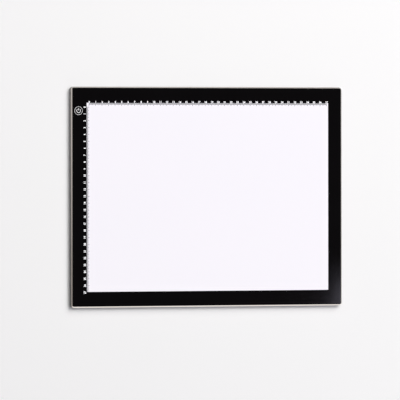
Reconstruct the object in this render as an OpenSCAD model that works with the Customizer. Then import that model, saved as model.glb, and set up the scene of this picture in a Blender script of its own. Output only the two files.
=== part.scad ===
// Tracing light pad: a thin edge-lit board with a black border and one press key.
// The pad lies on its feet. X runs along the long side, Y towards the rear edge, Z up.
// The origin is the middle of the outline, on the surface that the feet stand on.

/* [Pad outline] */
// Width of the pad along X
pad_w = 422; // [320:1:600]
// Depth of the pad along Y
pad_d = 322; // [240:1:450]
// Radius of the four outer corners
corner_r = 4.5; // [2.5:0.5:8]
// Border from the left edge to the lit window
border_left = 23.5; // [22.5:0.25:40]
// Border from the right edge to the lit window
border_right = 22; // [18:0.25:40]
// Border from the front edge to the lit window
border_front = 23; // [18:0.25:40]
// Border from the rear edge to the lit window
border_rear = 23.25; // [18:0.25:40]

/* [Face] */
// Thickness of the opal face panel
face_panel_t = 2.5; // [2.5:0.1:5]
// Bevel around the panel's upper edge
panel_bevel = 2; // [0.4:0.1:2.1]
// Broken edge around the panel's underside
panel_edge_break = 0.2; // [0.1:0.05:0.3]
// Thickness of the black border film
border_film_t = 0.2; // [0.1:0.05:0.4]
// Thickness of the adhesive ring under the panel
panel_tape_t = 0.25; // [0.15:0.05:0.3]
// Setback of the adhesive ring from the outer edge
tape_setback = 0.8; // [0.4:0.1:1.2]
// Setback of the adhesive ring from the frame's opening
tape_margin = 0.5; // [0.2:0.1:0.8]

/* [Light stack] */
// Thickness of the diffuser sheet
diffuser_t = 0.3; // [0.2:0.05:0.6]
// Thickness of the light guide
guide_t = 3; // [2.8:0.1:6]
// Thickness of the reflector sheet
reflector_t = 0.25; // [0.1:0.05:0.5]
// How far the light guide reaches past the lit window
guide_overlap = 3; // [2.5:0.5:4]
// Room for expansion between the light guide and the frame
guide_gap = 0.3; // [0.2:0.1:0.5]
// Width of the tabs that locate the sheets
tab_w = 6; // [4:0.5:12]
// Reach of the tabs into the sheets
tab_reach = 1.5; // [1:0.1:2]

/* [LED bars] */
// Distance from one LED to the next
led_pitch = 8; // [6:0.5:20]
// Width of one LED
led_w = 3; // [2:0.1:4]
// Height of one LED
led_h = 2.2; // [1.4:0.1:2.6]
// Thickness of one LED
led_t = 0.8; // [0.6:0.1:1.2]
// Diameter of the light-giving cup in an LED
led_cup_d = 1.5; // [0.8:0.1:1.6]
// Depth of that cup
led_cup_depth = 0.25; // [0.1:0.05:0.4]
// Gap between the LEDs and the light guide
led_gap = 0.3; // [0.1:0.1:0.6]
// Thickness of an LED board
led_board_t = 0.8; // [0.6:0.1:1.6]
// Thickness of the tape behind an LED board
led_tape_t = 0.2; // [0.1:0.05:0.4]
// How much an LED board is shorter than the light guide at each end
led_board_inset = 1; // [0.5:0.5:4]
// Diameter of a lead
lead_d = 0.8; // [0.6:0.1:1]
// Distance between the two leads of a pair
lead_pitch = 0.95; // [0.9:0.05:1.4]
// Room around the leads in the frame's channel
lead_gap = 0.3; // [0.2:0.1:0.5]
// Bend radius of the leads at the front left corner
lead_bend_r = 3; // [2.5:0.5:4]

/* [Side frame] */
// Thickness of the outer wall
skirt_t = 2; // [1.6:0.1:2.2]
// Chamfer around the lower outer edge
frame_chamfer = 0.6; // [0.3:0.1:1]
// Broken edge around the upper outer edge
frame_edge_break = 0.15; // [0.1:0.05:0.3]
// Thickness of the top skin over the cored pockets
frame_skin_t = 1.2; // [0.8:0.1:1.6]
// Thickness of the ribs between the pockets
rib_t = 1.6; // [1:0.1:2.5]
// Distance from one rib to the next
rib_pitch = 26; // [16:1:60]
// Wall between the control bay and the light guide
bay_wall = 1; // [0.8:0.1:1.2]
// Length of the control bay from the rear edge
bay_len = 57; // [55:1:90]

/* [Back plate] */
// Thickness of the back plate
back_plate_t = 1.5; // [1.4:0.1:3]
// Gap between the back plate and the frame's outer wall
plate_gap = 0.2; // [0.1:0.05:0.25]
// Diameter of a rubber foot
foot_d = 12; // [8:0.5:20]
// Height that a foot stands out of the back plate
foot_proud = 1; // [0.5:0.1:4]
// Depth of the recess that a foot is stuck into
foot_recess = 0.5; // [0.3:0.1:0.8]
// Gap around a foot in its recess
foot_gap = 0.2; // [0.1:0.05:0.4]
// Rounded edge of a foot, as a chamfer
foot_chamfer = 0.3; // [0.1:0.05:0.4]
// Distance from the pad's edges to the corner feet
foot_inset = 31; // [24:1:60]
// Feet along each long side
feet_per_side = 3; // [2:1:5]
// Diameter of a screw's shank
screw_d = 2; // [1.6:0.1:2.6]
// Diameter of a screw's countersunk head
screw_head_d = 4.2; // [3.6:0.1:4.6]
// Length of a screw
screw_len = 3.9; // [3:0.1:4]
// Length of the cross recess in a screw's head
screw_slot_len = 2.3; // [1.6:0.1:2.8]
// Width of the cross recess
screw_slot_w = 0.5; // [0.3:0.05:0.7]
// Depth of the cross recess
screw_slot_depth = 0.6; // [0.3:0.05:0.8]
// Gap around a screw
screw_gap = 0.05; // [0.02:0.01:0.1]
// Diameter of a screw boss
boss_d = 5.2; // [4.4:0.1:7]
// Distance from the pad's edges to the screw lines
screw_inset = 11; // [9:0.5:13]
// Distance from the pad's corners to the first screw of a long side
screw_end = 31; // [28:1:80]
// Screws along each long side
long_side_screws = 5; // [2:1:9]
// Distance between the two screws of a short side
short_side_span = 120; // [40:1:150]

/* [Power key] */
// Distance from the control bay's middle to the key's middle
key_offset = 0.6; // [0:0.05:0.8]
// Distance from the rear edge to the key's middle
key_from_rear = 35; // [31:0.5:39]
// Diameter of the key
key_d = 10.6; // [8:0.1:11]
// Gap between the key and its hole
key_gap = 0.2; // [0.1:0.05:0.3]
// Height of the key above the border film
key_proud = 0.3; // [0.2:0.05:0.8]
// Travel of the key
key_travel = 0.3; // [0.2:0.05:0.4]
// Chamfer around the key's top
key_chamfer = 0.3; // [0.1:0.05:0.6]
// Thickness of the key's top
key_top_t = 1; // [0.8:0.1:1.5]
// Thickness of the key's side wall
key_wall = 1.1; // [0.8:0.1:1.6]
// Diameter of the post that presses the switch
key_post_d = 4; // [3:0.1:5]
// How far the retaining flange reaches past the hole
flange_reach = 0.8; // [0.5:0.1:1]
// Thickness of the retaining flange
flange_t = 0.6; // [0.4:0.1:0.8]
// Gap between the flange and the panel at rest
flange_gap = 0.05; // [0.03:0.01:0.1]

/* [Control board] */
// Thickness of the control board
board_t = 0.8; // [0.6:0.1:1.2]
// Thickness of the adhesive pad under the board
board_pad_t = 0.2; // [0.2:0.05:0.4]
// Setback of the adhesive pad from the board's edges
board_pad_setback = 1; // [0.5:0.1:3]
// Gap between the board and the bay's walls
board_gap = 0.4; // [0.2:0.1:0.8]
// Side of the square switch base
switch_w = 6; // [5:0.1:7]
// Height of the switch base
switch_base_t = 1; // [0.9:0.05:1.2]
// Thickness of the floor of the switch base
switch_floor_t = 0.25; // [0.2:0.05:0.3]
// Diameter of the cavity in the switch base
switch_cavity_d = 4.4; // [4:0.1:4.8]
// Thickness of the switch cover
switch_cover_t = 0.2; // [0.15:0.05:0.3]
// Diameter of the switch plunger
plunger_d = 2.5; // [2:0.1:3]
// Gap around the plunger in the cover
plunger_gap = 0.15; // [0.1:0.05:0.2]
// How far the plunger's collar reaches past the cover's hole
collar_reach = 0.4; // [0.3:0.05:0.5]
// Thickness of the plunger's collar
collar_t = 0.2; // [0.15:0.05:0.25]
// Gap between the collar and the switch cover at rest
collar_gap = 0.05; // [0.03:0.01:0.08]
// Thickness of the snap dome
dome_t = 0.08; // [0.05:0.01:0.12]
// Gap between the snap dome and what is around it
dome_gap = 0.04; // [0.02:0.01:0.08]
// Width of the dimmer chip's body
chip_w = 4; // [3:0.1:5]
// Length of the dimmer chip's body
chip_len = 5; // [4.6:0.1:6]
// Height of the dimmer chip's body
chip_h = 1.4; // [0.8:0.1:1.8]
// Distance from the key to the dimmer chip
chip_from_key = 12; // [10:0.5:13]
// Distance between the legs of the dimmer chip
chip_leg_pitch = 1.27; // [1:0.01:1.27]
// Reach of one chip leg
chip_leg_reach = 1; // [0.6:0.1:1.4]
// Width of one chip leg
chip_leg_w = 0.4; // [0.3:0.05:0.5]
// Thickness of one chip leg
chip_leg_t = 0.2; // [0.1:0.05:0.3]
// Diameter of the boost coil
coil_d = 5; // [4:0.1:5.5]
// Height of the boost coil
coil_h = 2; // [1.2:0.1:2.2]
// Distance from the key to the boost coil
coil_from_key = 9.5; // [9:0.5:10]
// Length of one ceramic capacitor
capacitor_len = 2; // [1.6:0.1:2.4]
// Width of one ceramic capacitor
capacitor_w = 1.25; // [0.8:0.05:1.6]
// Height of one ceramic capacitor
capacitor_h = 1; // [0.6:0.1:1.4]
// Distance between the capacitors
capacitor_pitch = 2.2; // [1.8:0.1:2.6]
// Width of a lead socket
socket_w = 4.4; // [4:0.1:5]
// Length of a lead socket
socket_len = 4.4; // [4:0.1:5]
// Height of a lead socket
socket_h = 1.7; // [1.4:0.1:2]

/* [USB inlet] */
// Width of the inlet's shell
usb_w = 7.5; // [7:0.1:9]
// Height of the inlet's shell
usb_h = 2.4; // [2.2:0.1:2.6]
// Length of the inlet's shell
usb_len = 5.6; // [5:0.1:7]
// Thickness of the shell's sheet
usb_sheet_t = 0.3; // [0.2:0.05:0.4]
// Bevel of the shell's two lower corners
usb_corner = 1.1; // [0.8:0.1:1.2]
// How far the shell is sunk below the board's top
usb_sink = 0.9; // [0.7:0.05:0.95]
// Setback of the shell's mouth from the pad's edge
usb_setback = 0.4; // [0.2:0.1:1]
// Gap around the shell in the frame and the board
usb_gap = 0.15; // [0.1:0.05:0.2]
// Reach of the shell's ears, which rest on the board
usb_ear_reach = 1.4; // [1:0.1:1.8]
// Length of the shell's ears
usb_ear_len = 2.2; // [1.6:0.1:2.6]
// Length of the plastic block that closes the shell's rear
usb_block_len = 1.6; // [1.2:0.1:2]
// Width of the tongue
usb_tongue_w = 3.6; // [3.2:0.1:4]
// Length of the tongue
usb_tongue_len = 3.2; // [2.8:0.1:3.4]
// Thickness of the tongue
usb_tongue_t = 0.6; // [0.5:0.05:0.7]
// Width of one contact
usb_contact_w = 0.35; // [0.25:0.05:0.4]
// Length of one contact
usb_contact_len = 2.8; // [2:0.1:2.8]
// Thickness of one contact
usb_contact_t = 0.12; // [0.08:0.01:0.16]
// Distance from one contact to the next
usb_contact_pitch = 0.65; // [0.6:0.01:0.7]

/* [Hidden] */
$fn = 64;
// Overshoot of every cut past the face that it opens
cut = 0.5;
rear = 1;
front = -1;

// Heights, from the surface that the feet stand on
plate_z = foot_proud;
plate_top_z = plate_z + back_plate_t;
guide_z = plate_top_z + reflector_t;
diffuser_z = guide_z + guide_t;
panel_z = diffuser_z + diffuser_t;
frame_top_z = panel_z - panel_tape_t;
film_z = panel_z + face_panel_t;
face_z = film_z + border_film_t;
board_z = plate_top_z + board_pad_t;
board_top_z = board_z + board_t;

// Lit window, light guide and the opening in the frame, all on one middle
window_w = pad_w - border_left - border_right;
window_d = pad_d - border_front - border_rear;
window_x = (border_left - border_right) / 2;
window_y = (border_front - border_rear) / 2;
guide_w = window_w + 2 * guide_overlap;
guide_d = window_d + 2 * guide_overlap;
led_bar_t = led_gap + led_t + led_board_t + led_tape_t;
opening_w = guide_w + 2 * guide_gap;
opening_d = guide_d + 2 * led_bar_t;
led_board_len = guide_w - 2 * led_board_inset;

// Control bay in the rear left corner
bay_left = -pad_w / 2 + skirt_t;
bay_right = window_x - opening_w / 2 - bay_wall;
bay_rear = pad_d / 2 - skirt_t;
bay_front = pad_d / 2 - bay_len;
bay_x = (bay_left + bay_right) / 2;
board_w = bay_right - bay_left - 2 * board_gap;
board_len = bay_rear - bay_front - 2 * board_gap;

// Power key and the switch below it
key_x = bay_x + key_offset;
key_y = pad_d / 2 - key_from_rear;
key_hole_d = key_d + 2 * key_gap;
flange_top_z = panel_z - flange_gap;
flange_z = flange_top_z - flange_t;
key_top_z = face_z + key_proud;
cover_z = board_top_z + switch_base_t;
cavity_z = board_top_z + switch_floor_t;
collar_top_z = cover_z - collar_gap;
collar_z = collar_top_z - collar_t;
plunger_hole_d = plunger_d + 2 * plunger_gap;
collar_d = plunger_hole_d + 2 * collar_reach;
dome_base_r = switch_cavity_d / 2 - dome_gap;
dome_h = collar_z - cavity_z - dome_gap;
dome_r = (dome_base_r * dome_base_r + dome_h * dome_h) / (2 * dome_h);

// Leads: two pairs at the height of the sockets' middle
lead_z = board_top_z + socket_h / 2;
channel_w = lead_pitch + lead_d + 2 * lead_gap;
channel_top_z = lead_z + lead_d / 2 + lead_gap;
channel_x = bay_right - board_gap - socket_w / 2;
front_socket_y = bay_front + board_gap;
rear_socket_x = bay_x - socket_len / 2;
led_end_x = window_x - led_board_len / 2;
led_board_y = guide_d / 2 + led_gap + led_t + led_board_t / 2;
lead_bend_x = channel_x + lead_bend_r;
lead_bend_y = window_y - led_board_y + lead_bend_r;

// USB inlet
usb_mouth_y = pad_d / 2 - usb_setback;
usb_rear_y = usb_mouth_y - usb_len;
usb_z = board_top_z - usb_sink;
usb_tongue_z = usb_z + usb_h - 2 * usb_sheet_t - usb_tongue_t;

// The pad's outline, moved inwards
module inset_outline(inset) {
    w = pad_w - 2 * inset;
    d = pad_d - 2 * inset;
    r = corner_r - inset;
    square([w, d - 2 * r], center = true);
    square([w - 2 * r, d], center = true);
    for (sx = [-1, 1], sy = [-1, 1])
        translate([sx * (w / 2 - r), sy * (d / 2 - r)])
            circle(r);
}

// Half of a slab's section, from the axis to the edge
function half_section(reach, h, low, high) =
    [[0, 0], [reach - low, 0], [reach, low], [reach, h - high], [reach - high, h], [0, h]];

// Section of a slab along its whole width
module slab_section(reach, h, low, high) {
    polygon(half_section(reach, h, low, high));
    mirror([1, 0])
        polygon(half_section(reach, h, low, high));
}

// Slab with round corners and chamfers of its own around the lower and the upper edge
module chamfered_slab(w, d, r, h, low, high) {
    for (sx = [-1, 1], sy = [-1, 1])
        translate([sx * (w / 2 - r), sy * (d / 2 - r), 0])
            rotate_extrude()
                polygon(half_section(r, h, low, high));
    rotate([90, 0, 0])
        linear_extrude(d - 2 * r, center = true)
            slab_section(w / 2, h, low, high);
    rotate([90, 0, 90])
        linear_extrude(w - 2 * r, center = true)
            slab_section(d / 2, h, low, high);
}

// Rectangle given by its lowest corner and its highest corner
module rect_between(low, high) {
    translate(low)
        square(high - low);
}

// Places a child on the middle of the lit window
module on_window(z) {
    translate([window_x, window_y, z])
        children();
}

// Outline that the light guide and the two sheets share, notched for the locating tabs
module sheet_outline() {
    difference() {
        square([guide_w, guide_d], center = true);
        for (side = [-1, 1])
            translate([side * guide_w / 2, 0])
                square([2 * tab_reach, tab_w + 2 * guide_gap], center = true);
    }
}

// Outline of the control bay
module bay_outline() {
    rect_between([bay_left, bay_front], [bay_right, bay_rear]);
}

// Screw places: a row along each long side and two on each short side
module at_screws() {
    row_len = pad_w - 2 * screw_end;
    for (side = [front, rear], i = [0 : long_side_screws - 1])
        translate([row_len * (i / (long_side_screws - 1) - 0.5), side * (pad_d / 2 - screw_inset), 0])
            children();
    for (side = [-1, 1], end = [-1, 1])
        translate([side * (pad_w / 2 - screw_inset), end * short_side_span / 2, 0])
            children();
}

// Foot places: a row along each long side
module at_feet() {
    row_len = pad_w - 2 * foot_inset;
    for (side = [front, rear], i = [0 : feet_per_side - 1])
        translate([row_len * (i / (feet_per_side - 1) - 0.5), side * (pad_d / 2 - foot_inset), 0])
            children();
}

// Screw shape with a 90 degree countersunk head, grown by a gap
module countersunk(length, gap) {
    head_r = screw_head_d / 2 + gap;
    shank_r = screw_d / 2 + gap;
    cylinder(h = head_r - shank_r, r1 = head_r, r2 = shank_r);
    cylinder(h = length, r = shank_r);
}

// Face of the pad

module face_panel() {
    color("white")
        difference() {
            translate([0, 0, panel_z])
                chamfered_slab(pad_w, pad_d, corner_r, face_panel_t, panel_edge_break, panel_bevel);
            translate([key_x, key_y, panel_z - cut])
                cylinder(h = face_panel_t + 2 * cut, d = key_hole_d);
        }
}

module border_film() {
    color([0.05, 0.05, 0.055])
        translate([0, 0, film_z])
            linear_extrude(border_film_t)
                difference() {
                    inset_outline(panel_bevel);
                    translate([window_x, window_y])
                        square([window_w, window_d], center = true);
                    translate([key_x, key_y])
                        circle(d = key_hole_d);
                }
}

module panel_tape() {
    color("gainsboro")
        translate([0, 0, frame_top_z])
            linear_extrude(panel_tape_t)
                difference() {
                    inset_outline(tape_setback);
                    translate([window_x, window_y])
                        square([opening_w + 2 * tape_margin, opening_d + 2 * tape_margin], center = true);
                    bay_outline();
                }
}

// Light stack

module diffuser_sheet() {
    color("ghostwhite")
        on_window(diffuser_z)
            linear_extrude(diffuser_t)
                sheet_outline();
}

module light_guide() {
    color("lightcyan")
        on_window(guide_z)
            linear_extrude(guide_t)
                sheet_outline();
}

module reflector_sheet() {
    color("whitesmoke")
        on_window(plate_top_z)
            linear_extrude(reflector_t)
                sheet_outline();
}

// Strip along one long edge of the light guide, between two distances from that edge
module led_strip(side, from, to, z, h) {
    middle = guide_d / 2 + (from + to) / 2;
    on_window(z)
        translate([-led_board_len / 2, side * middle - (to - from) / 2, 0])
            cube([led_board_len, to - from, h]);
}

module led_board(side) {
    color("honeydew")
        led_strip(side, led_gap + led_t, led_gap + led_t + led_board_t, plate_top_z, reflector_t + guide_t);
}

module led_tape(side) {
    color("lightsteelblue")
        led_strip(side, led_bar_t - led_tape_t, led_bar_t, plate_top_z, reflector_t + guide_t);
}

// One LED that shines along -Y, with its back at Y = 0
module led() {
    difference() {
        translate([-led_w / 2, -led_t, -led_h / 2])
            cube([led_w, led_t, led_h]);
        translate([0, -led_t + led_cup_depth, 0])
            rotate([90, 0, 0])
                cylinder(h = led_cup_depth + cut, d = led_cup_d);
    }
}

module leds(side) {
    count = floor((led_board_len - led_w) / led_pitch) + 1;
    color("khaki")
        on_window(guide_z + guide_t / 2)
            for (i = [0 : count - 1])
                translate([(i - (count - 1) / 2) * led_pitch, side * (guide_d / 2 + led_gap + led_t), 0])
                    rotate([0, 0, side == rear ? 0 : 180])
                        led();
}

module led_board_rear() {
    led_board(rear);
}

module led_board_front() {
    led_board(front);
}

module led_tape_rear() {
    led_tape(rear);
}

module led_tape_front() {
    led_tape(front);
}

module leds_rear() {
    leds(rear);
}

module leds_front() {
    leds(front);
}

// Short lead from the rear socket to the rear LED board
module rear_lead(step) {
    start_x = rear_socket_x + socket_len;
    translate([start_x, window_y + led_board_y + step, lead_z])
        rotate([0, 90, 0])
            cylinder(h = led_end_x - start_x, d = lead_d);
}

// Long lead down the left side, with one bend, from the front socket to the front LED board
module front_lead(step) {
    bend_r = lead_bend_r - step;
    translate([lead_bend_x - bend_r, lead_bend_y, lead_z])
        rotate([-90, 0, 0])
            cylinder(h = front_socket_y - lead_bend_y, d = lead_d);
    translate([lead_bend_x, lead_bend_y, lead_z])
        rotate([0, 0, 180])
            rotate_extrude(angle = 90)
                translate([bend_r, 0])
                    circle(d = lead_d);
    translate([lead_bend_x, lead_bend_y - bend_r, lead_z])
        rotate([0, 90, 0])
            cylinder(h = led_end_x - lead_bend_x, d = lead_d);
}

module led_leads() {
    color("firebrick")
        for (step = [-lead_pitch / 2, lead_pitch / 2]) {
            rear_lead(step);
            front_lead(step);
        }
}

// Frame and back

// Row of cored pockets along X
module pocket_row(row_len, width) {
    count = floor(row_len / rib_pitch);
    for (i = [0 : count - 1])
        translate([(i - (count - 1) / 2) * rib_pitch, 0])
            square([rib_pitch - rib_t, width], center = true);
}

// Pockets of all four rails, between the outer wall and the wall around the opening
module frame_pockets() {
    for (side = [front, rear]) {
        inner = side * window_y + opening_d / 2 + rib_t;
        outer = pad_d / 2 - skirt_t;
        translate([window_x, side * (inner + outer) / 2])
            pocket_row(opening_w, outer - inner);
    }
    for (side = [-1, 1]) {
        inner = side * window_x + opening_w / 2 + rib_t;
        outer = pad_w / 2 - skirt_t;
        translate([side * (inner + outer) / 2, window_y])
            rotate([0, 0, 90])
                pocket_row(opening_d, outer - inner);
    }
}

// Tabs on the short sides of the opening, which locate the sheets
module locating_tabs() {
    for (side = [-1, 1])
        translate([side * (opening_w / 2 - tab_reach / 2), 0])
            square([tab_reach, tab_w], center = true);
}

// Quarter of a ring around the leads' bend, as wide as their channel
module channel_bend() {
    outer_r = lead_bend_r + channel_w / 2;
    translate([lead_bend_x, lead_bend_y])
        difference() {
            intersection() {
                circle(outer_r);
                rect_between([-outer_r, -outer_r], [0, 0]);
            }
            circle(lead_bend_r - channel_w / 2);
        }
}

// Channels for the leads: down the left side, and through the wall beside the control bay
module lead_channels() {
    front_y = window_y - led_board_y;
    rear_y = window_y + led_board_y;
    half = channel_w / 2;
    translate([0, 0, plate_top_z - cut])
        linear_extrude(channel_top_z - plate_top_z + cut) {
            rect_between([channel_x - half, lead_bend_y], [channel_x + half, bay_front + cut]);
            channel_bend();
            rect_between([lead_bend_x, front_y - half], [led_end_x, front_y + half]);
            rect_between([bay_right - cut, rear_y - half], [led_end_x, rear_y + half]);
        }
}

// Ring with its cored underside, before the openings are cut
module frame_ring() {
    pocket_top_z = frame_top_z - frame_skin_t;
    difference() {
        translate([0, 0, plate_z])
            chamfered_slab(pad_w, pad_d, corner_r, frame_top_z - plate_z, frame_chamfer, frame_edge_break);
        translate([0, 0, plate_z - cut])
            linear_extrude(back_plate_t + cut)
                inset_outline(skirt_t);
        on_window(plate_z)
            linear_extrude(frame_top_z - plate_z + cut)
                difference() {
                    square([opening_w, opening_d], center = true);
                    locating_tabs();
                }
        translate([0, 0, plate_top_z - cut])
            linear_extrude(pocket_top_z - plate_top_z + cut)
                frame_pockets();
    }
    at_screws()
        translate([0, 0, plate_top_z])
            cylinder(h = frame_top_z - plate_top_z - frame_skin_t / 2, d = boss_d);
}

module side_frame() {
    color("dimgray")
        difference() {
            frame_ring();
            translate([0, 0, plate_top_z - cut])
                linear_extrude(frame_top_z - plate_top_z + 2 * cut)
                    bay_outline();
            lead_channels();
            at_screws()
                translate([0, 0, plate_z])
                    countersunk(screw_len + screw_gap, screw_gap);
            usb_run(pad_d / 2 + cut, skirt_t + 2 * cut, -usb_gap);
        }
}

module back_plate() {
    color("dimgray")
        translate([0, 0, plate_z])
            difference() {
                linear_extrude(back_plate_t)
                    inset_outline(skirt_t + plate_gap);
                at_screws()
                    countersunk(back_plate_t + cut, screw_gap);
                at_feet()
                    translate([0, 0, -cut])
                        cylinder(h = foot_recess + cut, d = foot_d + 2 * foot_gap);
            }
}

module plate_screws() {
    color("silver")
        at_screws()
            translate([0, 0, plate_z])
                difference() {
                    countersunk(screw_len, 0);
                    for (turn = [0, 90])
                        rotate([0, 0, turn])
                            cube([screw_slot_len, screw_slot_w, 2 * screw_slot_depth], center = true);
                }
}

module rubber_feet() {
    r = foot_d / 2;
    h = foot_proud + foot_recess;
    color("darkslategray")
        at_feet()
            rotate_extrude()
                polygon([[0, 0], [r - foot_chamfer, 0], [r, foot_chamfer], [r, h], [0, h]]);
}

// Control board and what stands on it

module control_board() {
    color("seagreen")
        translate([0, 0, board_z])
            linear_extrude(board_t)
                difference() {
                    translate([bay_left + board_gap, bay_front + board_gap])
                        square([board_w, board_len]);
                    translate([bay_x - usb_w / 2 - usb_gap, usb_rear_y - usb_gap])
                        square([usb_w + 2 * usb_gap, usb_len]);
                }
}

module board_pad() {
    inset = board_gap + board_pad_setback;
    color("goldenrod")
        translate([0, 0, plate_top_z])
            linear_extrude(board_pad_t)
                rect_between([bay_left + inset, bay_front + inset], [bay_right - inset, usb_rear_y - inset]);
}

module dimmer_chip() {
    legs_per_side = 4;
    color([0.12, 0.12, 0.13])
        translate([bay_x, key_y - chip_from_key, board_top_z]) {
            translate([-chip_w / 2, -chip_len / 2, 0])
                cube([chip_w, chip_len, chip_h]);
            for (i = [0 : legs_per_side - 1])
                translate([0, (i - (legs_per_side - 1) / 2) * chip_leg_pitch, chip_leg_t / 2])
                    cube([chip_w + 2 * chip_leg_reach, chip_leg_w, chip_leg_t], center = true);
        }
}

module power_parts() {
    inset = board_gap + board_pad_setback;
    color("slategray")
        translate([0, key_y + coil_from_key, board_top_z]) {
            translate([bay_left + inset + coil_d / 2, 0, 0])
                cylinder(h = coil_h, d = coil_d);
            for (i = [-1, 0, 1])
                translate([bay_right - inset - capacitor_len, i * capacitor_pitch - capacitor_w / 2, 0])
                    cube([capacitor_len, capacitor_w, capacitor_h]);
        }
}

module lead_sockets() {
    color("ivory") {
        translate([channel_x - socket_w / 2, front_socket_y, board_top_z])
            cube([socket_w, socket_len, socket_h]);
        translate([rear_socket_x, window_y + led_board_y - socket_w / 2, board_top_z])
            cube([socket_len, socket_w, socket_h]);
    }
}

// Section of the inlet's shell: flat on top, with two bevelled lower corners
function usb_section(w, h) = [
    [usb_corner - w / 2, 0], [w / 2 - usb_corner, 0], [w / 2, usb_corner],
    [w / 2, h], [-w / 2, h], [-w / 2, usb_corner]
];

// Runs the inlet's section, moved inwards, from a place along Y towards the front
module usb_run(y, length, inset) {
    translate([bay_x, y, usb_z + inset])
        rotate([90, 0, 0])
            linear_extrude(length)
                polygon(usb_section(usb_w - 2 * inset, usb_h - 2 * inset));
}

module usb_shell() {
    color("silver") {
        difference() {
            usb_run(usb_mouth_y, usb_len, 0);
            usb_run(usb_mouth_y + cut, usb_len + 2 * cut, usb_sheet_t);
        }
        for (side = [-1, 1])
            translate([bay_x + side * (usb_w + usb_ear_reach) / 2, usb_rear_y, board_top_z])
                linear_extrude(usb_sheet_t)
                    translate([0, usb_ear_len / 2])
                        square([usb_ear_reach, usb_ear_len], center = true);
    }
}

module usb_tongue() {
    block_y = usb_rear_y + usb_block_len;
    color([0.1, 0.1, 0.1]) {
        usb_run(block_y, usb_block_len, usb_sheet_t);
        translate([bay_x - usb_tongue_w / 2, block_y, usb_tongue_z])
            cube([usb_tongue_w, usb_tongue_len, usb_tongue_t]);
    }
}

module usb_contacts() {
    contacts = 5;
    color("gold")
        translate([bay_x, usb_rear_y + usb_block_len, usb_tongue_z - usb_contact_t])
            for (i = [0 : contacts - 1])
                translate([(i - (contacts - 1) / 2) * usb_contact_pitch - usb_contact_w / 2, 0, 0])
                    cube([usb_contact_w, usb_contact_len, usb_contact_t]);
}

// Power key and its switch

// Places a child on the key's middle
module on_key(z) {
    translate([key_x, key_y, z])
        children();
}

module switch_base() {
    color("dimgray")
        on_key(board_top_z)
            difference() {
                translate([-switch_w / 2, -switch_w / 2, 0])
                    cube([switch_w, switch_w, switch_base_t]);
                translate([0, 0, switch_floor_t])
                    cylinder(h = switch_base_t, d = switch_cavity_d);
            }
}

module switch_cover() {
    color("silver")
        on_key(cover_z)
            linear_extrude(switch_cover_t)
                difference() {
                    square(switch_w, center = true);
                    circle(d = plunger_hole_d);
                }
}

module switch_dome() {
    color("lightgray")
        on_key(cavity_z)
            intersection() {
                translate([0, 0, dome_h - dome_r])
                    difference() {
                        sphere(dome_r);
                        sphere(dome_r - dome_t);
                    }
                cylinder(h = dome_h + cut, r = dome_base_r + cut);
            }
}

module switch_plunger() {
    color("gray")
        on_key(0) {
            translate([0, 0, collar_z])
                cylinder(h = collar_t, d = collar_d);
            translate([0, 0, collar_z])
                cylinder(h = flange_z - collar_z, d = plunger_d);
        }
}

module power_key() {
    r = key_d / 2;
    flange_r = key_hole_d / 2 + flange_reach;
    core_top_z = key_top_z - key_top_t;
    color([0.07, 0.07, 0.075])
        on_key(0)
            rotate_extrude()
                polygon([
                    [0, flange_z], [key_post_d / 2, flange_z], [key_post_d / 2, core_top_z],
                    [r - key_wall, core_top_z], [r - key_wall, flange_z], [flange_r, flange_z],
                    [flange_r, flange_top_z], [r, flange_top_z], [r, key_top_z - key_chamfer],
                    [r - key_chamfer, key_top_z], [0, key_top_z]
                ]);
}

face_panel();
border_film();
panel_tape();
diffuser_sheet();
light_guide();
reflector_sheet();
led_board_rear();
led_board_front();
leds_rear();
leds_front();
led_tape_rear();
led_tape_front();
led_leads();
lead_sockets();
side_frame();
back_plate();
plate_screws();
rubber_feet();
control_board();
board_pad();
dimmer_chip();
power_parts();
usb_shell();
usb_tongue();
usb_contacts();
switch_base();
switch_cover();
switch_dome();
switch_plunger();
power_key();
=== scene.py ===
import math

import bmesh
import bpy
from mathutils import Matrix, Vector


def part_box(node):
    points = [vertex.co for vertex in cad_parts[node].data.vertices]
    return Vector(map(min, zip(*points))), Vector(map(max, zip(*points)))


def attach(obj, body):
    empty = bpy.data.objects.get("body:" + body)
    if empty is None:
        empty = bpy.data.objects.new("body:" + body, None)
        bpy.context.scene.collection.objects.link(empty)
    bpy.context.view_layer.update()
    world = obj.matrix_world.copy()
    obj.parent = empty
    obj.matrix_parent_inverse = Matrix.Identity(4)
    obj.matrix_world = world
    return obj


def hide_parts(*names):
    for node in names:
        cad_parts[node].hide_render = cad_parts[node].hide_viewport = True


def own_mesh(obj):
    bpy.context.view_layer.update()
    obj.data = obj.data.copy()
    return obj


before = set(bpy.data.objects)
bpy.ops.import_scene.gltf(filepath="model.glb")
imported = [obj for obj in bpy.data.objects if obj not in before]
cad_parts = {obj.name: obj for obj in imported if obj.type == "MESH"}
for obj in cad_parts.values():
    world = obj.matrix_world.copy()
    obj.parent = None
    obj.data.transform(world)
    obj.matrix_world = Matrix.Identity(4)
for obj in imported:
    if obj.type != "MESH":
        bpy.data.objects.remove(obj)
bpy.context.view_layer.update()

scene = bpy.context.scene

MM = 0.001
CM = 10 * MM

# Places that come from the frame
FILM_LOW, FILM_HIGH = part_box("border_film")
KEY_LOW, KEY_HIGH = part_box("power_key")
KEY_MIDDLE = (KEY_LOW + KEY_HIGH) / 2

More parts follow.
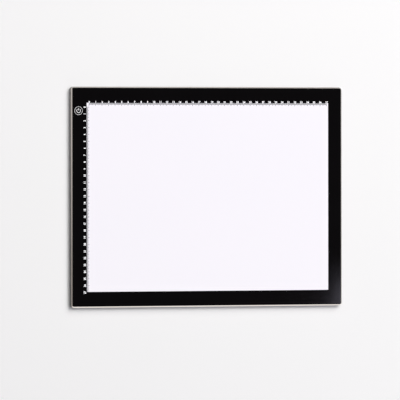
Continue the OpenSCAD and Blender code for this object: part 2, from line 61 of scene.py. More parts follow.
# Black border on each side, from the film's edge to the lit window
BORDER_LEFT = 21.5 * MM
BORDER_RIGHT = 20 * MM
BORDER_FRONT = 21 * MM
BORDER_REAR = 21.25 * MM
FILM_CORNER = 2.5 * MM
WINDOW_LOW = Vector((FILM_LOW.x + BORDER_LEFT, FILM_LOW.y + BORDER_FRONT, FILM_LOW.z))
WINDOW_HIGH = Vector((FILM_HIGH.x - BORDER_RIGHT, FILM_HIGH.y - BORDER_REAR, FILM_LOW.z))

# Black print that reaches past the film, over the upper edge of the panel's bevel
PRINT_OVER_LOW = Vector((0.35, 0.5, 0.0)) * MM
PRINT_OVER_HIGH = Vector((0.45, 0.6, 0.0)) * MM

# Rulers along the rear and the left edge of the window
REAR_RULER_START = 3.8 * MM
LEFT_RULER_START = 6.45 * MM
REAR_RULER_CM = 37
LEFT_RULER_CM = 27
TICKS_PER_CM = 10
REAR_BASE_LINE = 0.4 * MM
TICK_WIDTH = 0.42 * MM
TICK_LENGTHS = {10: 4.1 * MM, 5: 3.2 * MM, 1: 2.5 * MM}
TICK_MERGE = 0.001 * MM

# Numbers of the rulers
DIGIT_WIDTH = 2.8 * MM
REAR_DIGIT_HEIGHT = 2.9 * MM
LEFT_DIGIT_HEIGHT = 3.4 * MM
REAR_DIGIT_SHIFT = 0.3 * MM
LEFT_DIGIT_GAP = 1.25 * MM
PRINT_THICKNESS = 0.03 * MM

# Outline of a digit, its lengths in shares of its own size
DIGIT_ADVANCE = 0.72
DIGIT_BOLDNESS = 0.03
DIGIT_MERGE = 0.0005
DIGIT_HALF_DEPTH = 0.5
DIGIT_CURVE_STEPS = 4

# Mark around the key and the power sign on it
KEY_RING_OUTER = 6.2 * MM
KEY_RING_LINE = 0.44 * MM
SIGN_RADIUS = 2.9 * MM
SIGN_LINE = 0.56 * MM
SIGN_OPENING = math.radians(80)
SIGN_BAR_LOW = 0.4 * MM
SIGN_BAR_HIGH = 3.7 * MM
ROUND_STEPS = 96

# Distance within which the snap dome's loose corners are one
DOME_MERGE = 0.0001 * MM

# Soft edges in the finishes, each as half the width over which one look turns into the next
FILM_EDGE = 0.15 * MM
WINDOW_EDGE = 0.4 * MM
WINDOW_RIM = 14 * MM
PRINT_EDGE = 0.1 * MM
BEVEL_EDGE = 0.3 * MM

# Range in which most of a noise pattern lies
NOISE_LOW = 0.3
NOISE_HIGH = 0.7

# Middles of the plate's screws, in rows along the front and the rear and in pairs at the sides
SCREW_ROW_STEP = 90 * MM
SCREW_ROW_Y = 150 * MM
SCREW_SIDE_X = 200 * MM
SCREW_SIDE_Y = 60 * MM

# Step from one turning ring to the next on a screw's head
SCREW_TURNING_STEP = 0.22 * MM

# Printed dots on the light guide
GUIDE_DOT_STEP = 2.0 * MM
GUIDE_DOT_FULL = 0.4 * MM
GUIDE_DOT_END = 0.5 * MM

# Tracks under the solder mask, in shares of their pitch, and the wider ones that cross them
TRACK_START = 0.55
TRACK_FULL = 0.65
CROSS_TRACK_PITCH = 1.7
CROSS_TRACK_START = 1.2
CROSS_TRACK_FULL = 1.3

# Camera, fitted to the corners of the border and of the window
CAMERA_DISTANCE = 8.985
CAMERA_TILT_LEFT = math.radians(19.758)
CAMERA_TILT_FRONT = math.radians(-0.436)
CAMERA_ROLL = math.radians(-0.067)
CAMERA_AIM = Vector((-12.23, -4.63, 8.75)) * MM
CAMERA_LENS = 551.7
CAMERA_REACH = 200
SENSOR_WIDTH = 36

# Soft light from all sides, the backdrop from the horizon up, the floor, and where the lamps point
SOFT_LIGHT = (0.12, 0.12, 0.122)
NO_LIGHT = (0.0, 0.0, 0.0)
BACKDROP_LOW = (0.92, 0.92, 0.925)
BACKDROP_HIGH = (0.02, 0.02, 0.022)
BACKDROP_TOP = 0.45
FLOOR_LIFT = (0.085, 0.085, 0.085)
FLOOR_REACH = 30.0
LAMP_AIM = Vector((0.0, 0.0, 0.0))


class Nodes:
    """The nodes of a material or of the world, with short calls for what these share."""

    def __init__(self, owner, coordinates):
        owner.use_nodes = True
        self.nodes = owner.node_tree.nodes
        self.links = owner.node_tree.links
        self.place = self.nodes.new("ShaderNodeTexCoord").outputs[coordinates]

    def put(self, socket, value):
        """Links a node's output to a socket, or sets a constant on it."""
        if isinstance(value, bpy.types.NodeSocket):
            self.links.new(value, socket)
        elif socket.type == "RGBA":
            socket.default_value = (*value, 1.0)
        else:
            socket.default_value = value

    def math(self, operation, *numbers):
        """The result of one operation on up to three numbers."""
        node = self.nodes.new("ShaderNodeMath")
        node.operation = operation
        for socket, number in zip(node.inputs, numbers):
            self.put(socket, number)
        return node.outputs["Value"]

    def axes(self):
        """The place along X, Y and Z, each as a number."""
        node = self.nodes.new("ShaderNodeSeparateXYZ")
        self.put(node.inputs["Vector"], self.place)
        return node.outputs["X"], node.outputs["Y"], node.outputs["Z"]

    def spread(self, value, start, end, at_start, at_end):
        """Turns a value from start to end into a number from at_start to at_end, with nothing beyond."""
        node = self.nodes.new("ShaderNodeMapRange")
        node.interpolation_type = "SMOOTHSTEP"
        self.put(node.inputs["Value"], value)
        self.put(node.inputs["From Min"], start)
        self.put(node.inputs["From Max"], end)
        self.put(node.inputs["To Min"], at_start)
        self.put(node.inputs["To Max"], at_end)
        return node.outputs["Result"]

    def blend(self, factor, first, second):
        """The first colour where the factor is 0, the second where it is 1, and a mix between."""
        node = self.nodes.new("ShaderNodeMix")
        node.data_type = "RGBA"
        colour_inputs = [socket for socket in node.inputs if socket.type == "RGBA"]
        self.put(node.inputs["Factor"], factor)
        self.put(colour_inputs[0], first)
        self.put(colour_inputs[1], second)
        return [socket for socket in node.outputs if socket.type == "RGBA"][0]

    def seen(self):
        """1 for what the eye, gloss and glass see, and 0 for the light that falls on things."""
        rays = self.nodes.new("ShaderNodeLightPath").outputs
        reflected = self.math("MAXIMUM", rays["Is Glossy Ray"], rays["Is Transmission Ray"])
        return self.math("MAXIMUM", rays["Is Camera Ray"], reflected)


class Finish(Nodes):
    """A material on the object's own coordinates, in metres."""

    def __init__(self, name):
        self.material = bpy.data.materials.new(name)
        super().__init__(self.material, "Object")
        self.shader = self.nodes["Principled BSDF"]

    def set(self, **sockets):
        """Gives the shader's sockets their values, with _ for a space in a name."""
        for name, value in sockets.items():
            self.put(self.shader.inputs[name.replace("_", " ")], value)
        return self

    def stretched(self, stretch):
        """The place, stretched along the axes, for brushed and drawn grain."""
        node = self.nodes.new("ShaderNodeMapping")
        self.put(node.inputs["Vector"], self.place)
        self.put(node.inputs["Scale"], stretch)
        return node.outputs["Vector"]

    def noise(self, patch, detail=3.0, stretch=None):
        """Soft noise, with patch as the width of one patch in metres."""
        node = self.nodes.new("ShaderNodeTexNoise")
        self.put(node.inputs["Vector"], self.stretched(stretch) if stretch else self.place)
        self.put(node.inputs["Scale"], 1 / patch)
        self.put(node.inputs["Detail"], detail)
        return node.outputs["Fac"]

    def cells(self, width):
        """Distance to the nearest of many scattered points, for specks and pores."""
        node = self.nodes.new("ShaderNodeTexVoronoi")
        self.put(node.inputs["Vector"], self.place)
        self.put(node.inputs["Scale"], 1 / width)
        return node.outputs["Distance"]

    def varied(self, noise, low, high):
        """A number that goes from low to high with a noise pattern."""
        return self.spread(noise, NOISE_LOW, NOISE_HIGH, low, high)

    def below(self, value, edge, margin):
        """1 where a number is below an edge and 0 where it is above, falling off over a margin."""
        return self.spread(value, edge - margin, edge + margin, at_start=1.0, at_end=0.0)

    def length(self, first, second):
        """The long side of the right triangle over two numbers."""
        squares = [self.math("POWER", side, 2.0) for side in (first, second)]
        return self.math("SQRT", self.math("ADD", *squares))

    def inside(self, low, high, margin, corner=0.0):
        """1 in the upright rectangle between two corners and 0 outside it, falling off over a margin."""
        middle = (low + high) / 2
        straight = (high - low) / 2 - Vector((corner, corner, 0.0))
        past = []
        for place, centre, reach in zip(self.axes(), middle, straight.xy):
            distance = self.math("ABSOLUTE", self.math("SUBTRACT", place, centre))
            past.append(self.math("SUBTRACT", distance, reach))
        outer = self.length(*[self.math("MAXIMUM", side, 0.0) for side in past])
        inner = self.math("MINIMUM", self.math("MAXIMUM", *past), 0.0)
        return self.below(self.math("ADD", outer, inner), corner, margin)

    def relief(self, height, depth):
        """Raises the surface by a height pattern, with depth in metres."""
        node = self.nodes.new("ShaderNodeBump")
        self.put(node.inputs["Height"], height)
        self.put(node.inputs["Distance"], depth)
        self.put(node.inputs["Strength"], 1.0)
        self.put(self.shader.inputs["Normal"], node.outputs["Normal"])
        return self

    def onto(self, *names):
        """Puts the finish on CAD nodes."""
        for name in names:
            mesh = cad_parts[name].data
            mesh.materials.clear()
            mesh.materials.append(self.material)


def plastic(name, colour, shade, grain, depth, roughness):
    """Moulded plastic: a fine grain, cloudy colour and a roughness that varies with the grain."""
    finish = Finish(name)
    clouds = finish.noise(patch=35 * MM)
    pores = finish.noise(patch=grain, detail=2.0)
    finish.set(
        Base_Color=finish.blend(clouds, colour, shade),
        Roughness=finish.varied(pores, *roughness),
    )
    return finish.relief(pores, depth)


def metal(name, colour, shade, stretch, roughness):
    """Plated metal with a drawn grain along one axis."""
    finish = Finish(name)
    grain = finish.noise(patch=0.5 * MM, detail=4.0, stretch=stretch)
    finish.set(
        Base_Color=finish.blend(grain, colour, shade),
        Metallic=1.0,
        Roughness=finish.varied(grain, *roughness),
    )
    return finish.relief(grain, depth=0.004 * MM)


def black_film():
    """Smooth black print with a faint orange-peel, wiped patches and a paler cut edge."""
    finish = Finish("black_film")
    wiped = finish.noise(patch=60 * MM, detail=4.0)
    peel = finish.noise(patch=1.2 * MM, detail=1.0)
    within = finish.inside(FILM_LOW, FILM_HIGH, FILM_EDGE, FILM_CORNER)
    ink = finish.blend(wiped, (0.0034, 0.0030, 0.0033), (0.0046, 0.0041, 0.0046))
    finish.set(
        Base_Color=finish.blend(within, (0.02, 0.02, 0.022), ink),
        Roughness=finish.spread(wiped, start=0.35, end=0.65, at_start=0.05, at_end=0.065),
        Specular_IOR_Level=0.03,
    )
    return finish.relief(peel, depth=0.004 * MM)


def opal_panel():
    """Opal acrylic: white light in the window, print over the upper edge, and a glow on the bevel that is
    painted light, strongest on the front bevel.
    """
    finish = Finish("opal_panel")
    x, y, _ = finish.axes()
    lit = finish.inside(WINDOW_LOW, WINDOW_HIGH, WINDOW_EDGE)
    deep = finish.inside(WINDOW_LOW, WINDOW_HIGH, WINDOW_RIM)
    inked = finish.inside(FILM_LOW - PRINT_OVER_LOW, FILM_HIGH + PRINT_OVER_HIGH, PRINT_EDGE, FILM_CORNER)
    past_left = finish.below(x, FILM_LOW.x, BEVEL_EDGE)
    past_front = finish.below(y, FILM_LOW.y, BEVEL_EDGE)
    rearward = finish.spread(y, FILM_LOW.y, FILM_HIGH.y, at_start=0.0, at_end=1.0)
    drift = finish.noise(patch=160 * MM, detail=1.0)
    milk = finish.noise(patch=3 * MM, detail=2.0)
    middle_glow = finish.blend(drift, (0.457, 0.445, 0.480), (0.473, 0.456, 0.490))
    window_glow = finish.blend(deep, (0.508, 0.496, 0.530), middle_glow)
    # Painted light on the bevel: a glow for the light that falls on it, strong on the front bevel, rising
    # towards the rear on the left bevel, faint on the right and rear bevels, and none where the print
    # reaches over
    left_painted_light = finish.blend(rearward, (0.06, 0.045, 0.035), (0.26, 0.235, 0.215))
    side_painted_light = finish.blend(past_left, (0.06, 0.052, 0.045), left_painted_light)
    bevel_painted_light = finish.blend(past_front, side_painted_light, (0.68, 0.63, 0.58))
    edge_painted_light = finish.blend(inked, bevel_painted_light, NO_LIGHT)
    edge = finish.blend(inked, (0.36, 0.34, 0.32), (0.004, 0.0036, 0.004))
    finish.set(
        Base_Color=finish.blend(lit, edge, (0.52, 0.51, 0.53)),
        Emission_Color=finish.blend(lit, edge_painted_light, window_glow),
        Emission_Strength=1.0,
        Roughness=finish.varied(milk, 0.38, 0.48),
        Specular_IOR_Level=0.15,
    )
    return finish.relief(milk, depth=0.003 * MM)


def screw_steel():
    """Plated steel with turning rings around each screw's own middle."""
    finish = Finish("screw_steel")
    x, y, _ = finish.axes()
    from_middle_x = finish.math("ABSOLUTE", x)
    from_middle_y = finish.math("ABSOLUTE", y)
    row_x = finish.math("WRAP", x, SCREW_ROW_STEP / 2, -SCREW_ROW_STEP / 2)
    row_y = finish.math("SUBTRACT", from_middle_y, SCREW_ROW_Y)
    side_x = finish.math("SUBTRACT", from_middle_x, SCREW_SIDE_X)
    side_y = finish.math("SUBTRACT", from_middle_y, SCREW_SIDE_Y)
    radius = finish.math("MINIMUM", finish.length(row_x, row_y), finish.length(side_x, side_y))
    rings = finish.math("SINE", finish.math("MULTIPLY", radius, math.tau / SCREW_TURNING_STEP))
    tarnish = finish.noise(patch=1.5 * MM)
    finish.set(
        Base_Color=finish.blend(tarnish, (0.62, 0.61, 0.60), (0.44, 0.44, 0.45)),
        Metallic=1.0,
        Roughness=finish.varied(tarnish, 0.28, 0.44),
    )
    return finish.relief(rings, depth=0.004 * MM)


def foot_rubber():
    """Matt black rubber with fine pores and patches of pale dust."""
    finish = Finish("foot_rubber")
    pores = finish.cells(width=0.35 * MM)
    dust = finish.noise(patch=2.5 * MM, detail=5.0)
    dusty = finish.spread(dust, start=0.5, end=0.75, at_start=0.0, at_end=0.6)
    finish.set(
        Base_Color=finish.blend(dusty, (0.018, 0.018, 0.019), (0.06, 0.06, 0.06)),
        Roughness=finish.varied(dust, 0.75, 0.92),
        Specular_IOR_Level=0.3,
    )
    return finish.relief(pores, depth=0.02 * MM)


def printed_ink(name, colour, shade, glow):
    """Screen-printed ink with uneven cover and a glow: on the border the pad's light coming through the
    ink, on the key's sign painted light.
    """
    finish = Finish(name)
    cover = finish.noise(patch=0.6 * MM, detail=4.0)
    thin = finish.spread(cover, start=0.35, end=0.7, at_start=0.0, at_end=1.0)
    finish.set(
        Base_Color=finish.blend(thin, colour, shade),
        Emission_Color=colour,
        Emission_Strength=glow,
        Roughness=finish.varied(cover, 0.42, 0.55),
    )
    return finish.relief(cover, depth=0.003 * MM)


def light_guide_acrylic():
    """Clear sheet with a grid of printed dots that let the light out."""
    finish = Finish("clear_acrylic")
    x, y, _ = finish.axes()
    across = finish.math("PINGPONG", x, GUIDE_DOT_STEP / 2)
    along = finish.math("PINGPONG", y, GUIDE_DOT_STEP / 2)
    radius = finish.length(across, along)
    dots = finish.spread(radius, GUIDE_DOT_FULL, GUIDE_DOT_END, at_start=1.0, at_end=0.0)
    finish.set(
        Base_Color=finish.blend(dots, (0.78, 0.88, 0.90), (0.93, 0.94, 0.94)),
        Roughness=finish.spread(dots, start=0.0, end=1.0, at_start=0.06, at_end=0.5),
    )
    return finish.relief(dots, depth=0.01 * MM)


def circuit_board(name, mask, copper, pitch):
    """Solder mask over tracks that run along both axes."""
    finish = Finish(name)
    x, y, _ = finish.axes()
    across_x = finish.math("PINGPONG", x, pitch)
    across_y = finish.math("PINGPONG", y, pitch * CROSS_TRACK_PITCH)
    straight = finish.spread(across_x, pitch * TRACK_START, pitch * TRACK_FULL, at_start=0.0, at_end=1.0)
    crossing = finish.spread(
        across_y, pitch * CROSS_TRACK_START, pitch * CROSS_TRACK_FULL, at_start=0.0, at_end=1.0
    )
    tracks = finish.math("MAXIMUM", straight, crossing)
    clouds = finish.noise(patch=4 * MM)
    finish.set(
        Base_Color=finish.blend(tracks, mask, copper),
        Roughness=finish.varied(clouds, 0.32, 0.48),
    )
    return finish.relief(tracks, depth=0.03 * MM)


def led_package():
    """Pale package around a yellow phosphor that shows as soft patches."""
    finish = Finish("phosphor")
    grains = finish.cells(width=0.25 * MM)
    pale = finish.spread(grains, start=0.1, end=0.6, at_start=0.0, at_end=1.0)
    finish.set(
        Base_Color=finish.blend(pale, (0.92, 0.80, 0.30), (0.95, 0.90, 0.62)),
        Roughness=finish.spread(grains, start=0.1, end=0.6, at_start=0.3, at_end=0.55),
    )
    return finish.relief(grains, depth=0.01 * MM)


def sticky_tape():
    """Double-sided tape with a fibrous film."""
    finish = Finish("adhesive")
    fibres = finish.noise(patch=1.0 * MM, detail=6.0, stretch=(1.0, 4.0, 1.0))
    finish.set(
        Base_Color=finish.blend(fibres, (0.78, 0.76, 0.70), (0.62, 0.60, 0.55)),
        Roughness=finish.varied(fibres, 0.5, 0.75),
    )
    return finish.relief(fibres, depth=0.01 * MM)


def dress_lit_stack(film):
    """Finishes of the panel, its film and tapes, and the sheets and LEDs that light it."""
    opal_panel().onto("face_panel")
    film.onto("border_film")
    sticky_tape().onto("panel_tape", "led_tape_rear", "led_tape_front", "board_pad")
    diffuser = plastic(
        "diffuser", (0.93, 0.93, 0.95), (0.88, 0.88, 0.91),
        grain=0.3 * MM, depth=0.006 * MM, roughness=(0.52, 0.68),
    )
    diffuser.onto("diffuser_sheet")
    light_guide_acrylic().onto("light_guide")
    reflector = plastic(
        "reflector", (0.93, 0.93, 0.92), (0.87, 0.87, 0.86),
        grain=0.8 * MM, depth=0.008 * MM, roughness=(0.42, 0.58),
    )
    reflector.onto("reflector_sheet")
    white_board = circuit_board("white_board", (0.86, 0.87, 0.83), (0.74, 0.72, 0.62), pitch=1.3 * MM)
    white_board.onto("led_board_rear", "led_board_front")
    led_package().onto("leds_rear", "leds_front")


def dress_housing():
    """Finishes of the frame, the back plate, its screws and the feet."""
    frame_plastic = plastic(
        "frame_plastic", (0.125, 0.123, 0.12), (0.105, 0.103, 0.10),
        grain=0.5 * MM, depth=0.02 * MM, roughness=(0.42, 0.58),
    )
    frame_plastic.onto("side_frame")
    plate_plastic = plastic(
        "plate_plastic", (0.115, 0.113, 0.11), (0.095, 0.093, 0.09),
        grain=0.7 * MM, depth=0.035 * MM, roughness=(0.50, 0.66),
    )
    plate_plastic.onto("back_plate")
    screw_steel().onto("plate_screws")
    foot_rubber().onto("rubber_feet")


def dress_control(steel):
    """Finishes of the control board, its components and leads, the inlet, the switch and the key."""
    green_board = circuit_board("green_board", (0.012, 0.10, 0.040), (0.03, 0.20, 0.075), pitch=0.9 * MM)
    green_board.onto("control_board")
    lead_jacket = plastic(
        "lead_jacket", (0.42, 0.035, 0.025), (0.30, 0.025, 0.02),
        grain=0.5 * MM, depth=0.006 * MM, roughness=(0.37, 0.53),
    )
    lead_jacket.onto("led_leads")
    socket_plastic = plastic(
        "socket_plastic", (0.80, 0.76, 0.64), (0.72, 0.68, 0.56),
        grain=0.4 * MM, depth=0.01 * MM, roughness=(0.42, 0.58),
    )
    socket_plastic.onto("lead_sockets")
    chip_resin = plastic(
        "chip_resin", (0.018, 0.018, 0.020), (0.030, 0.030, 0.032),
        grain=0.15 * MM, depth=0.01 * MM, roughness=(0.52, 0.68),
    )
    chip_resin.onto("dimmer_chip")
    part_ceramic = plastic(
        "part_ceramic", (0.26, 0.22, 0.19), (0.16, 0.15, 0.15),
        grain=0.3 * MM, depth=0.01 * MM, roughness=(0.47, 0.63),
    )
    part_ceramic.onto("power_parts")
    steel.onto("usb_shell", "switch_cover", "switch_dome")
    contact_brass = metal(
        "contact_brass", (0.86, 0.62, 0.22), (0.70, 0.48, 0.15),
        stretch=(1.0, 0.2, 1.0), roughness=(0.22, 0.40),
    )
    contact_brass.onto("usb_contacts")
    tongue_plastic = plastic(
        "tongue_plastic", (0.016, 0.016, 0.017), (0.028, 0.028, 0.03),
        grain=0.2 * MM, depth=0.008 * MM, roughness=(0.42, 0.58),
    )
    tongue_plastic.onto("usb_tongue", "switch_base", "switch_plunger")
    key_plastic = plastic(
        "key_plastic", (0.0024, 0.0023, 0.0025), (0.0036, 0.0035, 0.0038),
        grain=0.12 * MM, depth=0.001 * MM, roughness=(0.28, 0.44),
    )
    key_plastic.set(Specular_IOR_Level=0.05).onto("power_key")


def put_in_scene(name, data):
    """Makes an object of a mesh, text, lamp or camera, and puts it in the scene."""
    thing = bpy.data.objects.new(name, data)
    scene.collection.objects.link(thing)
    return thing


def mesh_of(name, shape, finish):
    """Turns a bmesh into a mesh with a finish."""
    mesh = bpy.data.meshes.new(name)
    shape.to_mesh(mesh)
    shape.free()
    mesh.materials.append(finish.material)
    return mesh


def finished_piece(name, shape, finish, body):
    """Turns a bmesh into an object at the origin that rides on a body."""
    bmesh.ops.recalc_face_normals(shape, faces=shape.faces)
    piece = put_in_scene(name, mesh_of(name, shape, finish))
    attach(piece, body)
    return piece


def add_block(shape, low, high):
    """Adds a box between two corners."""
    size = high - low
    place = Matrix.Translation((low + high) / 2) @ Matrix.Diagonal((*size, 1.0))
    bmesh.ops.create_cube(shape, size=1.0, matrix=place)


def add_sheet(shape, low, high):
    """Adds a flat rectangle between two corners, at the film's lower side."""
    low = Vector((*low, FILM_LOW.z))
    high = Vector((*high, FILM_LOW.z))
    half = (high - low) / 2
    place = Matrix.Translation((low + high) / 2) @ Matrix.Diagonal((half.x, half.y, 1.0, 1.0))
    bmesh.ops.create_grid(shape, x_segments=1, y_segments=1, size=1.0, matrix=place)


def tick_length(millimetre):
    """Length of the tick at a whole millimetre: longest at each centimetre, shorter at each half."""
    for step, length in TICK_LENGTHS.items():
        if millimetre % step == 0:
            return length


def rear_comb(start, top_y, base_y):
    """Base line with a tick at every millimetre, as one closed shape with the film's thickness."""
    last = REAR_RULER_CM * TICKS_PER_CM
    shape = bmesh.new()
    for millimetre in range(last + 1):
        left = start + millimetre * MM - TICK_WIDTH / 2
        right = left + TICK_WIDTH
        add_sheet(shape, (left, base_y), (right, top_y))
        add_sheet(shape, (left, base_y - tick_length(millimetre)), (right, base_y))
        if millimetre < last:
            add_sheet(shape, (right, base_y), (left + MM, top_y))
    bmesh.ops.remove_doubles(shape, verts=shape.verts, dist=TICK_MERGE)
    raised = bmesh.ops.extrude_face_region(shape, geom=shape.faces[:])["geom"]
    raised_verts = [item for item in raised if isinstance(item, bmesh.types.BMVert)]
    bmesh.ops.translate(shape, verts=raised_verts, vec=(0.0, 0.0, FILM_HIGH.z - FILM_LOW.z))
    return shape


def ruler_ticks(finish):
    """Black ticks that reach from the border into the window, as thick as the film."""
    base_y = WINDOW_HIGH.y - REAR_BASE_LINE
    rear = rear_comb(WINDOW_LOW.x + REAR_RULER_START, WINDOW_HIGH.y, base_y)
    finished_piece("rear_ruler_ticks", rear, finish, "pad")
    half = TICK_WIDTH / 2
    left = bmesh.new()
    for millimetre in range(LEFT_RULER_CM * TICKS_PER_CM):
        y = WINDOW_HIGH.y - LEFT_RULER_START - millimetre * MM
        low = Vector((WINDOW_LOW.x, y - half, FILM_LOW.z))
        add_block(left, low, Vector((WINDOW_LOW.x + tick_length(millimetre), y + half, FILM_HIGH.z)))
    finished_piece("left_ruler_ticks", left, finish, "pad")


def digit_mesh(digit):
    """Mesh of a digit, one unit high and one deep, standing on Y = 0 and centred on X."""
    outline = bpy.data.curves.new("digit", "FONT")
    outline.body = digit
    outline.resolution_u = DIGIT_CURVE_STEPS
    outline.extrude = DIGIT_HALF_DEPTH
    outline.offset = DIGIT_BOLDNESS
    text = put_in_scene("digit", outline)
    raised = text.evaluated_get(bpy.context.evaluated_depsgraph_get())
    mesh = bpy.data.meshes.new_from_object(raised)
    bpy.data.objects.remove(text)
    shape = bmesh.new()
    shape.from_mesh(mesh)
    bmesh.ops.remove_doubles(shape, verts=shape.verts, dist=DIGIT_MERGE)
    bmesh.ops.dissolve_degenerate(shape, edges=shape.edges, dist=DIGIT_MERGE)
    corners = [vertex.co for vertex in shape.verts]
    low = Vector([min(axis) for axis in zip(*corners)])
    high = Vector([max(axis) for axis in zip(*corners)])
    height = high.y - low.y
    unit = Matrix.Diagonal((1 / height, 1 / height, 1.0, 1.0))
    place = unit @ Matrix.Translation((-(low.x + high.x) / 2, -low.y, -low.z))
    bmesh.ops.transform(shape, matrix=place, verts=shape.verts)
    shape.to_mesh(mesh)
    shape.free()
    return mesh


def add_number(shape, digits, number, height, place):
    """Adds a number of that height, its foot in the middle at the place's origin."""
    text = str(number)
    size = Matrix.Diagonal((DIGIT_WIDTH, height, PRINT_THICKNESS, 1.0))
    for position, digit in enumerate(text):
        shift = (position - (len(text) - 1) / 2) * DIGIT_ADVANCE
        before = set(shape.verts)
        shape.from_mesh(digits[digit])
        added = [vertex for vertex in shape.verts if vertex not in before]
        bmesh.ops.transform(shape, matrix=place @ size @ Matrix.Translation((shift, 0, 0)), verts=added)


def ruler_numbers(finish):
    """White numbers in the border, their feet towards the ticks."""
    digits = {digit: digit_mesh(digit) for digit in "0123456789"}
    rear = bmesh.new()
    for number in range(REAR_RULER_CM + 1):
        x = WINDOW_LOW.x + REAR_RULER_START + number * CM + REAR_DIGIT_SHIFT
        place = Matrix.Translation((x, WINDOW_HIGH.y - REAR_BASE_LINE, FILM_HIGH.z))
        add_number(rear, digits, number, REAR_DIGIT_HEIGHT, place)
    finished_piece("rear_ruler_numbers", rear, finish, "pad")
    left = bmesh.new()
    turned = Matrix.Rotation(math.radians(90), 4, "Z")
    for number in range(LEFT_RULER_CM + 1):
        y = WINDOW_HIGH.y - LEFT_RULER_START - number * CM
        place = Matrix.Translation((WINDOW_LOW.x - LEFT_DIGIT_GAP, y, FILM_HIGH.z)) @ turned
        add_number(left, digits, number, LEFT_DIGIT_HEIGHT, place)
    finished_piece("left_ruler_numbers", left, finish, "pad")


def add_arc(shape, middle, inner, outer, start, angle):
    """Adds a flat band of print, swept around a middle from a start angle."""
    corners = [(inner, 0.0), (outer, 0.0), (outer, PRINT_THICKNESS), (inner, PRINT_THICKNESS)]
    turn = Matrix.Translation(middle) @ Matrix.Rotation(start, 4, "Z")
    section = [shape.verts.new(turn @ Vector((radius, 0.0, height))) for radius, height in corners]
    face = shape.faces.new(section)
    geometry = [face]
    full = math.isclose(angle, math.tau)
    if full:
        geometry = [*face.edges, *section]
        shape.faces.remove(face)
    bmesh.ops.spin(
        shape, geom=geometry, cent=middle, axis=(0, 0, 1), angle=angle, steps=ROUND_STEPS, use_merge=full
    )


def key_marks(ring_finish, sign_finish):
    """Printed ring on the border around the key, and the power sign on the key itself."""
    ring = bmesh.new()
    on_film = Vector((KEY_MIDDLE.x, KEY_MIDDLE.y, FILM_HIGH.z))
    add_arc(ring, on_film, KEY_RING_OUTER - KEY_RING_LINE, KEY_RING_OUTER, 0.0, math.tau)
    finished_piece("key_ring", ring, ring_finish, "pad")
    sign = bmesh.new()
    on_key = Vector((KEY_MIDDLE.x, KEY_MIDDLE.y, KEY_HIGH.z))
    half = SIGN_LINE / 2
    start = math.radians(90) + SIGN_OPENING / 2
    add_arc(sign, on_key, SIGN_RADIUS - half, SIGN_RADIUS + half, start, math.tau - SIGN_OPENING)
    bar_low = on_key + Vector((-half, SIGN_BAR_LOW, 0.0))
    add_block(sign, bar_low, on_key + Vector((half, SIGN_BAR_HIGH, PRINT_THICKNESS)))
    finished_piece("power_sign", sign, sign_finish, "key")


def snap_dome(finish):
    """Spring dome under the key, on a mesh of its own that takes the CAD dome's place."""
    shape = bmesh.new()
    shape.from_mesh(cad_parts["switch_dome"].data)
    bmesh.ops.remove_doubles(shape, verts=shape.verts, dist=DOME_MERGE)
    dome = finished_piece("snap_dome", shape, finish, "pad")
    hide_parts("switch_dome")
    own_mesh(dome)


def studio_floor():
    """Large pale floor, on which the feet stand."""
    shape = bmesh.new()
    bmesh.ops.create_grid(shape, x_segments=1, y_segments=1, size=FLOOR_REACH)
    finish = Finish("pale_floor")
    clouds = finish.noise(patch=0.8)
    finish.set(
        Base_Color=finish.blend(clouds, (0.93, 0.93, 0.925), (0.91, 0.91, 0.91)),
        Emission_Color=finish.blend(finish.seen(), NO_LIGHT, FLOOR_LIFT),
        Emission_Strength=1.0,
        Roughness=0.9,
        Specular_IOR_Level=0.1,
    )
    floor = put_in_scene("floor", mesh_of("floor", shape, finish))


def studio_world():
    """Even soft light. The eye, gloss and glass see a backdrop, pale at the horizon and dark overhead."""
    scene.world = bpy.data.worlds.new("studio")
    sky = Nodes(scene.world, "Generated")
    _, _, height = sky.axes()
    climb = sky.spread(height, 0.0, BACKDROP_TOP, at_start=0.0, at_end=1.0)
    backdrop = sky.blend(climb, BACKDROP_LOW, BACKDROP_HIGH)
    sky.put(sky.nodes["Background"].inputs["Color"], sky.blend(sky.seen(), SOFT_LIGHT, backdrop))


def soft_lamp(name, place, size, power, colour):
    """Square soft box that points at the middle of the pad."""
    lamp = bpy.data.lights.new(name, "AREA")
    lamp.size = size
    lamp.energy = power
    lamp.color = colour
    thing = put_in_scene(name, lamp)
    thing.location = place
    thing.rotation_euler = (LAMP_AIM - place).to_track_quat("-Z", "Y").to_euler()


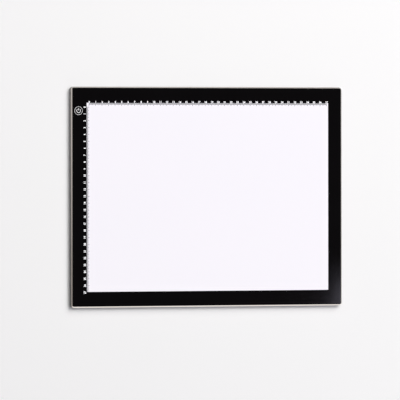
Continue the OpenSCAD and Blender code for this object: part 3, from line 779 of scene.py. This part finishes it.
def studio_lamps():
    """Large key lamp behind the pad, weak fill lamp in front, small window lamp that the film mirrors."""
    soft_lamp("key_lamp", Vector((2.2, 3.4, 5.0)), size=5.4, power=455, colour=(1.0, 0.99, 0.98))
    soft_lamp("fill_lamp", Vector((0.4, -3.4, 1.3)), size=1.5, power=7, colour=(1.0, 0.99, 0.975))
    soft_lamp("window_lamp", Vector((1.494, -0.38, 3.0)), size=0.33, power=10.8, colour=(0.86, 0.82, 1.0))


def photo_camera():
    """Long lens, high above the pad and well to its left, as in the photo."""
    back = Vector((-math.tan(CAMERA_TILT_LEFT), -math.tan(CAMERA_TILT_FRONT), 1.0)).normalized()
    right = Vector((0.0, 1.0, 0.0)).cross(back).normalized()
    up = back.cross(right)
    rolled_right = math.cos(CAMERA_ROLL) * right + math.sin(CAMERA_ROLL) * up
    rolled_up = math.cos(CAMERA_ROLL) * up - math.sin(CAMERA_ROLL) * right
    turn = Matrix((rolled_right, rolled_up, back)).transposed().to_4x4()
    lens = bpy.data.cameras.new("photo_camera")
    lens.lens = CAMERA_LENS
    lens.sensor_width = SENSOR_WIDTH
    lens.clip_end = CAMERA_REACH
    camera = put_in_scene("photo_camera", lens)
    camera.matrix_world = Matrix.Translation(CAMERA_AIM + back * CAMERA_DISTANCE) @ turn
    bpy.context.scene.camera = camera


photo_camera()
studio_floor()
studio_world()
studio_lamps()

border_black = black_film()
plated_steel = metal(
    "plated_steel", (0.74, 0.73, 0.70), (0.58, 0.57, 0.55),
    stretch=(1.0, 0.12, 1.0), roughness=(0.22, 0.40),
)
dress_lit_stack(border_black)
dress_housing()
dress_control(plated_steel)

ruler_ticks(border_black)
ruler_numbers(printed_ink("white_ink", (0.86, 0.86, 0.88), (0.80, 0.80, 0.83), glow=0.7))
key_marks(
    printed_ink("pale_ink", (0.86, 0.86, 0.86), (0.80, 0.80, 0.80), glow=0.25),
    # The power sign's glow is painted light, since no light of the pad comes through the dark key
    printed_ink("key_ink", (0.88, 0.88, 0.88), (0.82, 0.82, 0.82), glow=0.6),
)
snap_dome(plated_steel)

scene.view_settings.view_transform = "Standard"
